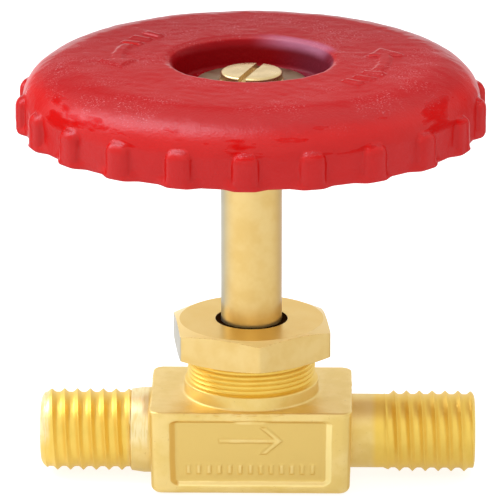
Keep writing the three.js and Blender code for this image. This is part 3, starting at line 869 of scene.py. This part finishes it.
def gland_nut():
    bottom, top = nut_low[2], nut_high[2]
    apothem = NUT_CORNER * math.cos(math.pi / 6)
    # columns close together at the corners
    share = np.concatenate([
        np.linspace(0, 0.12, 7)[:-1],
        np.linspace(0.12, 0.88, 24)[:-1],
        np.linspace(0.88, 1, 7)[:-1],
    ])
    angle = np.concatenate([(k + share) * math.pi / 3 for k in range(6)])
    faces = np.cos(angle[:, None] - (np.arange(6) + 0.5) * math.pi / 3)
    hexagon = apothem / (np.clip(faces, 0, 1) ** 90).sum(1) ** (1 / 90)
    heights = np.concatenate([
        np.linspace(0, 1.1, 15)[:-1],
        np.linspace(1.1, top - bottom - 1.4, 10)[:-1],
        np.linspace(top - bottom - 1.4, top - bottom, 24),
    ])
    rings = []

    def ring(radius, height):
        radius = radius + 0 * angle
        level = bottom + height + 0 * angle
        rings.append(np.stack([radius * np.cos(angle), radius * np.sin(angle), level], -1))

    # the top's chamfer is cut deeper at the back than at the front
    turn = NUT_TURN + math.pi / 2
    cut = NUT_CORNER - NUT_FLAT
    top_drop = 0.85 + 0.35 * np.sin(angle + turn)
    bottom_rise = 0.6
    for height in heights:
        upper = NUT_FLAT + (top - bottom - height) * cut / top_drop
        lower = NUT_FLAT + height * cut / bottom_rise
        cone = np.minimum(upper, lower)
        soft = 0.12
        h = np.clip(0.5 + 0.5 * (cone - hexagon) / soft, 0, 1)
        ring(cone * (1 - h) + hexagon * h - soft * h * (1 - h), height)
    full = top - bottom
    for radius, height in (
        [(r, full) for r in (11.0, 9.5, 8.0, 7.0, NUT_HOLE + 0.4)]
        + arc((NUT_HOLE + 0.1, full - 0.1), (0.1, 0.1), 90, 180, 4)
        + [(NUT_LIP, full - 0.14), (NUT_LIP, full - 0.7), (NUT_HOLE, full - 0.8)]
        + [(NUT_HOLE, full - NUT_WEB), (NUT_BORE, full - NUT_WEB), (NUT_BORE, 0.4), (NUT_BORE + 0.5, 0.0)]
    ):
        ring(radius, height)
    piece = skin("hexagon_nut", rings, "loop")
    turn_about_spindle(piece, turn)
    return piece


def gland_follower():
    low, high = box_mm("gland_follower")
    flange, spigot, bore = FOLLOWER["flange"], FOLLOWER["spigot"], FOLLOWER["bore"]
    step = high[2] - FOLLOWER["flange_height"]
    profile = [
        (bore + 0.15, low[2]), (spigot - 0.15, low[2]), (spigot, low[2] + 0.15), (spigot, step),
        (flange - 0.1, step), (flange, step + 0.1), (flange, high[2] - 0.1), (flange - 0.1, high[2]),
        (bore + 0.15, high[2]), (bore, high[2] - 0.15), (bore, low[2] + 0.15),
    ]
    return turned("follower_ring", profile, "loop")


# ---- Spindle, needle ----

def spindle():
    """The spindle, with its thread, the needle's socket, the wheel's square and the screw's hole."""
    bottom, top = spindle_low[2], spindle_high[2]
    crest, depth = SPINDLE_THREAD["crest"], SPINDLE_THREAD["depth"]
    start = bottom + 0.3
    end = start + SPINDLE_THREAD["length"]
    root = crest - depth
    piece = turned("turned_spindle", [(root - 0.3, bottom), (root, start), (root, start + 1)])
    thread = threaded_bar("thread", start, end, FINE_PITCH, crest, depth, lambda z: crest, 96, 10)
    shank = turned("shank", (
        [(SPINDLE_RADIUS - 0.5, end - 0.5), (SPINDLE_RADIUS, end - 0.4)]
        + line((SPINDLE_RADIUS, end - 0.4), (SPINDLE_RADIUS, SHOULDER - 0.4), 1.5)
        + arc((SPINDLE_RADIUS - 0.4, SHOULDER - 0.4), (0.4, 0.4), 15, 90, 4)
    ), around=128)
    half = SQUARE_HALF
    square = block_piece("square", (-half, -half, SHOULDER - 0.5), (half, half, top), 0.25)
    piece = combine(piece, [thread, shank, square], "UNION")
    mouth, radius, lip_top = SOCKET["mouth"], SOCKET["radius"], bottom + SOCKET["lip"]
    socket = turned("socket", [
        (mouth, bottom - 1), (mouth, lip_top), (radius, lip_top), (radius, bottom + SOCKET["depth"]),
    ], around=64)
    screw_hole = SCREW_THREAD["crest"] + 0.1
    tapped = turned("tapped", [(0.3, top - 9.4), (screw_hole, top - 8.4), (screw_hole, top + 1)], around=48)
    return combine(piece, [socket, tapped], "DIFFERENCE")


def needle():
    low, high = box_mm("needle")
    tip, shank, head = NEEDLE["tip"], NEEDLE["shank"], NEEDLE["head"]
    head_bottom = high[2] - NEEDLE["head_height"]
    return turned("needle_point", (
        [(tip - 0.25, low[2]), (tip, low[2] + 0.2)]
        + line((tip, low[2] + 0.2), (shank, NEEDLE["cone_top"]), 0.4)
        + [(shank, head_bottom), (head, head_bottom), (head, high[2] - 0.3), (head - 0.3, high[2])]
    ), around=72)


# ---- Handwheel ----

def wheel_profile():
    """Closed (radius, height) outline from the square hole's top, over the rim and back under the web."""
    floor = washer_low[2] - wheel_low[2]
    hub_bottom = SHOULDER - wheel_low[2]
    wall_top, shoulder, lip, web = 4.45, 9.0, 1.9, 3.0
    centre = WHEEL_WALL - shoulder
    top, well, inner, hub = WHEEL_THICK, WELL_RADIUS, WHEEL_INNER_WALL, HUB_RADIUS
    well_outside, hole_edge = 15.0, 5.5
    outline = line((hole_edge, floor), (well - 0.8, floor), 1.0)
    outline += arc((well - 0.9, floor + 0.7), (0.7, 0.7), -80, 0, 5)
    outline += line((well - 0.2, floor + 0.7), (well, top - lip), 0.6)
    outline += arc((well + lip, top - lip), (lip, lip), 175, 90, 9)
    outline += line((well + lip, top), (centre, top), 0.3)
    outline += arc((centre, wall_top), (shoulder, top - wall_top), 88, 0, 38)
    outline += line((WHEEL_WALL, wall_top), (WHEEL_WALL, 0.6), 0.36)
    outline += arc((WHEEL_WALL - 0.6, 0.6), (0.6, 0.6), -15, -90, 5)
    outline += line((WHEEL_WALL - 0.6, 0), (inner + 0.4, 0), 0.5)
    outline += arc((inner + 0.4, 0.4), (0.4, 0.4), -110, -180, 3)
    outline += line((inner, 0.4), (inner, wall_top), 0.9)
    outline += arc((centre, wall_top), (inner - centre, 3.15), 8, 90, 11)
    outline += line((centre, wall_top + 3.15), (well_outside + 1.0, top - 3.2), 1.1)
    outline += arc((well_outside + 1.0, top - 3.8), (0.6, 0.6), 100, 180, 4)
    outline += line((well_outside + 0.4, top - 3.8), (well_outside, floor - 1.2), 0.9)
    outline += line((well_outside, floor - 1.2), (well + 0.2, floor - web), 1.0)
    outline += line((well + 0.2, floor - web), (hub + 0.4, floor - web), 1.0)
    outline += line((hub + 0.4, floor - web), (hub, floor - web - 0.2), 0.4)
    outline += line((hub, floor - web - 0.2), (hub - 0.8, hub_bottom), 0.9)
    outline += line((hub - 0.8, hub_bottom), (hole_edge, hub_bottom), 1.2)
    return np.array(outline), floor, hub_bottom


def lobe_bulge(across, height):
    """How far a grip lobe stands out of the wall, from 0 to 1, with a round top and a splayed foot."""
    above = np.maximum(height - LOBE["shoulder"], 0) / LOBE["cap"]
    body = np.clip(1 - (across / LOBE["half_width"]) ** 2.6 - above ** 2.2, 0, 1) ** 0.55
    splay = smooth(3.9, 1.2, across) * smooth(2.0, 0.2, height)
    return np.maximum(body, splay)


def lobe_angles():
    """Column angles, closer together at the sides of each lobe."""
    half = np.array([0, 0.05, 0.1, 0.135, 0.158, 0.177, 0.192, 0.205, 0.225, 0.27, 0.34, 0.42])
    share = np.concatenate([half, [0.5], 1 - half[:0:-1]])
    return np.concatenate([LOBE_FIRST + (k + share) * TAU / LOBES for k in range(LOBES)])


def turn_arrow(x, y, middle):
    """A raised dashed arrow that curves anticlockwise round the wheel's top, from 0 to 1."""
    bearing = np.mod(np.arctan2(y, x) - middle + math.pi, TAU) - math.pi
    along = bearing * TURN_ARROW["radius"]
    across = np.abs(np.hypot(x, y) - TURN_ARROW["radius"])
    tail, shaft_end, half_shaft = TURN_ARROW["tail"], TURN_ARROW["shaft_end"], TURN_ARROW["half_shaft"]
    soft = 0.45
    shaft = smooth(tail, tail + soft, along) * smooth(shaft_end, shaft_end - soft, along)
    shaft = shaft * smooth(half_shaft, half_shaft - soft, across)
    barb = shaft_end - 0.7
    narrowing = (TURN_ARROW["tip"] - along) * TURN_ARROW["slope"]
    head = smooth(barb, barb + soft, along) * smooth(0, soft, narrowing - across)
    spacing, half_dash, dash_reach = 3.0, 0.85, 1.9
    from_dash = np.abs(np.mod(along, spacing) - spacing / 2)
    dashes = smooth(half_dash, half_dash - soft, from_dash) * smooth(dash_reach, dash_reach - soft, across)
    dashes = dashes * (along < tail - 0.4) * (along > -4 * spacing)
    return np.maximum(np.maximum(shaft, head), dashes)


def handwheel():
    profile, floor, hub_bottom = wheel_profile()
    angle = lobe_angles()
    flat_r, flat_z = profile[:, :1], profile[:, 1:]
    r = np.repeat(flat_r, len(angle), 1)
    z = np.repeat(flat_z, len(angle), 1)
    step = np.arange(len(profile))[:, None]
    widest = int(np.argmax(profile[:, 0]))
    # grip lobes on the wall, running out into the shoulder
    bearing = np.mod(angle - LOBE_FIRST + math.pi / LOBES, TAU / LOBES) - math.pi / LOBES
    across = np.abs(bearing) * LOBE_RADIUS
    outer = (flat_r > WHEEL_WALL - 1.5) & (flat_z < 7.5) & (step < widest + 20)
    r = r + (LOBE_RADIUS - WHEEL_WALL) * lobe_bulge(across, z) * outer
    # ribs under the web
    rib_across = np.abs(np.sin(np.mod(angle, math.pi / 2) - math.pi / 4)) * r
    below = (step > widest) & (flat_r > 13.0) & (flat_z > 3.2)
    rib = smooth(1.9, 1.3, rib_across) * below
    z = z + (np.minimum(z, 3.15) - z) * rib
    # raised marks on the top
    x, y = r * np.cos(angle), r * np.sin(angle)
    on_top = (step < widest) & (flat_z > WHEEL_THICK - 0.5)
    marks = np.maximum(*[turn_arrow(x, y, middle) for middle in TURN_ARROW_MIDDLES])
    z = z + MARK_RISE * marks * on_top
    points = np.stack([x, y, z + wheel_low[2]], -1)
    # the casting's lumpy skin, left smooth on the well's floor and under the web
    rough = 0.09 * lumps(points, 5.0, 1.0) + 0.05 * lumps(points, 1.5, 5.0)
    shown = (step < widest + 8) & (flat_r > 12.0)
    upright = shown & (flat_z <= 7) & (flat_z > 0.7)
    points[..., 2] += rough * (shown & (flat_z > 7))
    points[..., 0] += rough * np.cos(angle) * upright
    points[..., 1] += rough * np.sin(angle) * upright
    square = (SQUARE_HALF + 0.15) / np.maximum(np.abs(np.cos(angle)), np.abs(np.sin(angle)))
    hole = np.stack([square * np.cos(angle), square * np.sin(angle), 0 * angle + wheel_low[2]], -1)
    rings = [hole + (0, 0, floor), *points, hole + (0, 0, hub_bottom)]
    return skin("red_handwheel", rings, "loop")


# ---- Screw ----

def wheel_screw():
    bottom, top = screw_low[2], screw_high[2]
    seat = washer_high[2] + 0.02
    radius, flange = SCREW_HEAD["radius"], SCREW_HEAD["flange"]
    head = turned("slotted_screw", (
        [(2.4, seat - 0.3), (2.4, seat), (flange - 0.1, seat)]
        + arc((flange - 0.15, seat + 0.15), (0.15, 0.15), -60, 60, 4)
        + [(radius + 0.02, seat + 0.42)]
        + line((radius, seat + 0.5), (radius, top - 0.45), 0.3)
        + arc((radius - 0.5, top - 0.45), (0.5, 0.42), 10, 82, 6)
        + [(3.0, top - 0.01), (1.5, top)]
    ), around=128)

    def limit(z):
        return 2.6 + (z - bottom) * 0.6

    crest, depth = SCREW_THREAD["crest"], SCREW_THREAD["depth"]
    thread = threaded_bar("thread", bottom, seat - 0.1, FINE_PITCH, crest, depth, limit, 64, 8)
    head = combine(head, [thread], "UNION")
    half = SLOT["half_width"]
    slot = block_piece("slot", (-half, -8, top - SLOT["depth"]), (half, 8, top + 3), 0.1)
    turn_about_spindle(slot, SLOT["turn"])
    return combine(head, [slot], "DIFFERENCE")


# ---- Pieces ----

brass = turned_brass()
finish_piece(valve_body(), "valve_body", ["body"], forged_brass())
finish_piece(gland_nut(), "gland_nut", ["gland_nut"], brass, 9)
finish_piece(gland_follower(), "gland_follower", ["gland_follower"], brass)
finish_piece(spindle(), "spindle", ["spindle"], brass)
steel = plain_metal("stainless_steel", rgb(206, 208, 210), 0.25)
finish_piece(needle(), "needle", ["needle"], steel)
finish_piece(handwheel(), "spindle", ["handwheel"], red_enamel(), 50)
screw_metal = plain_metal("screw_brass", rgb(230, 203, 146), 0.3)
finish_piece(wheel_screw(), "spindle", ["wheel_screw"], screw_metal)

washer = bushing("flat_washer", *WHEEL_WASHER, washer_low[2], washer_high[2])
plated = plain_metal("plated_steel", rgb(152, 126, 96), 0.4)
finish_piece(washer, "spindle", ["wheel_washer"], plated)
backing_low, backing_high = box_mm("packing_washer")
backing = bushing("backing_washer", *BACKING_WASHER, backing_low[2], backing_high[2])
finish_piece(backing, "valve_body", ["packing_washer"], brass)
packing_material = white_packing()
for number in (1, 2, 3):
    node = f"packing_ring_{number}"
    low, high = box_mm(node)
    ring = bushing(f"soft_packing_{number}", *PACKING_RING, low[2], high[2], 0.25)
    finish_piece(ring, "valve_body", [node], packing_material)
    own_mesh(ring)


# ---- Stage ----

def floor():
    mesh = bpy.data.meshes.new("floor")
    size = 3.0
    height = cad_bounds[0].z - 0.0002
    corners = [(-size, -size, height), (size, -size, height), (size, size, height), (-size, size, height)]
    mesh.from_pydata(corners, [], [(0, 1, 2, 3)])
    ground = bpy.data.objects.new("floor", mesh)
    bpy.context.scene.collection.objects.link(ground)
    shader = Shader("floor")
    # White to the camera, and clear from below. The object sees it glow softly, more on its left.
    sideways = shader.parts(shader.place())["X"]
    glow = shader.ramp(sideways, -160, 160, 0.66, 0.4)
    seen = shader.node("LightPath").outputs["Is Camera Ray"]
    from_below = shader.node("NewGeometry").outputs["Backfacing"]
    shader.set(
        Base_Color=(0.4, 0.4, 0.4, 1.0),
        Roughness=0.9,
        Specular_IOR_Level=0.0,
        Emission_Color=(1, 1, 1, 1),
        Emission_Strength=shader.math("MAXIMUM", glow, shader.math("MULTIPLY", seen, 0.8)),
        Alpha=shader.math("SUBTRACT", 1.0, from_below),
    )
    mesh.materials.append(shader.material)


# A light tent: its even light, then soft patches as (direction, half width, soft edge in degrees, light)
TENT_LIGHT = 0.92
COOL = (0.92, 0.95, 1.12)
TENT = (
    ((0.0, 0.95, 0.3), 14, 20, 0.12),
    ((0.0, -0.75, 0.66), 12, 22, 0.3),
    ((-0.25, -0.06, 0.97), 6, 12, 4.6),
    ((-0.5, 0.1, 0.86), 7, 12, 4.6),
    ((-0.77, 0.28, 0.58), 7, 12, 4.0),
)


def world():
    made = bpy.data.worlds.new("tent")
    bpy.context.scene.world = made
    made.use_nodes = True
    tree = made.node_tree
    direction = tree.nodes.new("ShaderNodeTexCoord").outputs["Generated"]
    total = None
    for towards, half, edge, light in TENT:
        dot = tree.nodes.new("ShaderNodeVectorMath")
        dot.operation = "DOT_PRODUCT"
        tree.links.new(direction, dot.inputs[0])
        dot.inputs[1].default_value = Vector(towards).normalized()
        patch = tree.nodes.new("ShaderNodeMapRange")
        patch.interpolation_type = "SMOOTHSTEP"
        tree.links.new(dot.outputs["Value"], patch.inputs["Value"])
        patch.inputs["From Min"].default_value = math.cos(math.radians(half + edge))
        patch.inputs["From Max"].default_value = math.cos(math.radians(half))
        add = tree.nodes.new("ShaderNodeVectorMath")
        add.operation = "MULTIPLY_ADD"
        tree.links.new(patch.outputs["Result"], add.inputs[0])
        tint = COOL if light > 1 else (1, 1, 1)
        add.inputs[1].default_value = Vector(tint) * light
        add.inputs[2].default_value = (TENT_LIGHT,) * 3
        if total is not None:
            tree.links.new(total, add.inputs[2])
        total = add.outputs[0]
    tree.links.new(total, tree.nodes["Background"].inputs["Color"])
    tree.nodes["Background"].inputs["Strength"].default_value = 1.0


def camera():
    data = bpy.data.cameras.new("camera")
    data.lens = 362.3
    data.clip_start, data.clip_end = 0.05, 10
    distance, elevation, bearing = 0.8, math.radians(17.75), math.radians(0.93)
    aim = Vector((-0.00024, 0, 0.0372))
    level = math.cos(elevation)
    away = Vector((level * math.sin(bearing), -level * math.cos(bearing), math.sin(elevation)))
    made = bpy.data.objects.new("camera", data)
    made.location = aim + away * distance
    made.rotation_euler = (aim - made.location).to_track_quat("-Z", "Y").to_euler()
    bpy.context.scene.collection.objects.link(made)
    bpy.context.scene.camera = made


floor()
world()
camera()
bpy.context.scene.view_settings.view_transform = "Standard"
